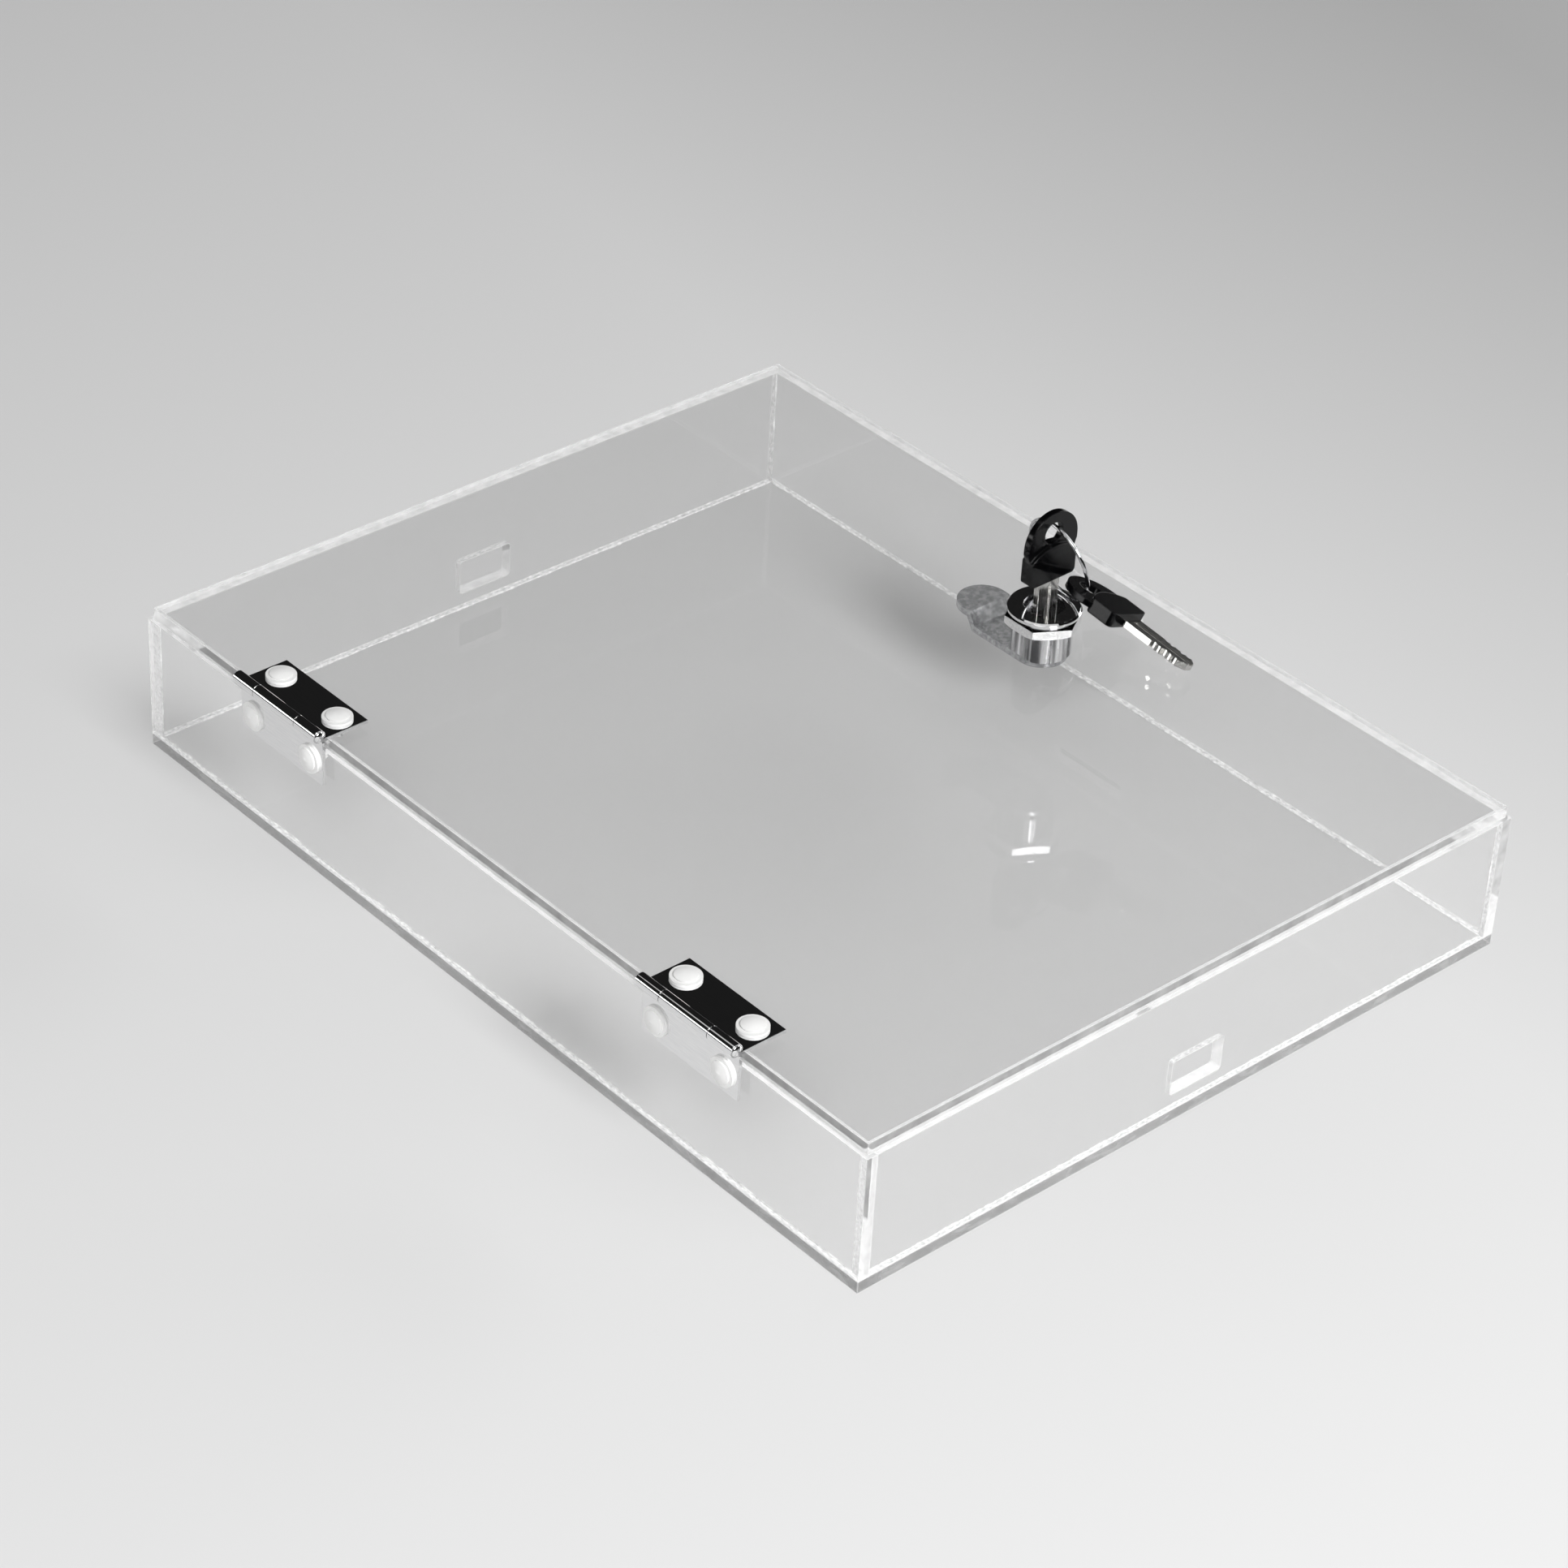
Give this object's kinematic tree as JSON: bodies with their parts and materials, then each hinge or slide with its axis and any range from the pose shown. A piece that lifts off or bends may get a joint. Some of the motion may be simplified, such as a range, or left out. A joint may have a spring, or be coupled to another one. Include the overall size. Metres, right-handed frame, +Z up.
{
  "type": "acrylic phone lock box",
  "caption": "Clear acrylic lock box for storing phones, with glued walls, cable slots, a hinged lid, a cam lock and keys on a ring.",
  "frame": {"origin": "centre of the base's underside, on the surface that the box stands on", "axes": "+X along the long side, -Y towards the lock side, +Y towards the hinge side, +Z up"},
  "size_m": [0.305, 0.242, 0.0792],
  "materials": {
    "acrylic": "clear cast acrylic sheet, polished faces, cut edges slightly frosted",
    "stainless": "mirror-polished stainless steel",
    "chrome_zinc": "bright chrome over die-cast zinc",
    "plug_zinc": "bright chrome over die-cast zinc, satin in the keyway",
    "wafer_brass": "plain stamped brass",
    "cam_steel": "zinc-plated stamped steel",
    "key_steel": "nickel-plated key blank with cut edges",
    "ring_steel": "polished steel wire",
    "black_plastic": "moulded black plastic, lightly polished",
    "white_nylon": "moulded white nylon"
  },
  "bodies": {
    "case": {"base_panel": "acrylic", "front_wall": "acrylic", "rear_wall": "acrylic", "left_wall": "acrylic", "right_wall": "acrylic", "left_hinge_wall_leaf": "stainless", "right_hinge_wall_leaf": "stainless", "left_hinge_pin": "stainless", "right_hinge_pin": "stainless", "wall_rivet_sleeves": "white_nylon", "wall_rivet_pins": "white_nylon"},
    "lid": {"lid_panel": "acrylic", "left_hinge_lid_leaf": "stainless", "right_hinge_lid_leaf": "stainless", "lid_rivet_sleeves": "white_nylon", "lid_rivet_pins": "white_nylon", "lock_housing": "chrome_zinc", "lock_nut": "chrome_zinc"},
    "plug": {"lock_plug": "plug_zinc", "lock_wafers": "wafer_brass", "lock_cam": "cam_steel", "cam_washer": "cam_steel", "cam_screw": "cam_steel"},
    "key_one": {"key_one_head": "black_plastic", "key_one_blade": "key_steel"},
    "ring": {"key_ring": "ring_steel"},
    "key_two": {"key_two_head": "black_plastic", "key_two_blade": "key_steel"}
  },
  "joints": [
    {"name": "lid_hinge", "type": "hinge", "parent": "case", "child": "lid", "pos_m": [0, 0.121, 0.0486], "axis": [-1, 0, 0], "range_deg": [0, 180]},
    {"name": "lock_turn", "type": "hinge", "parent": "lid", "child": "plug", "pos_m": [-0.002, -0.086, 0.0475], "axis": [0, 0, -1], "range_deg": [0, 90]},
    {"name": "key_slide", "type": "slide", "parent": "plug", "child": "key_one", "axis": [0, 0, 1], "range_m": [0, 0.014]},
    {"name": "ring_swing", "type": "hinge", "parent": "key_one", "child": "ring", "pos_m": [-0.002, -0.08749, 0.07369], "axis": [-0.9945, 0.085, -0.0616], "range_deg": [0, 40]},
    {"name": "spare_key_turn", "type": "hinge", "parent": "ring", "child": "key_two", "pos_m": [-0.01351, -0.09085, 0.05625], "axis": [-0.3598, 0.2688, 0.8935], "range_deg": [0, 30]}
  ]
}
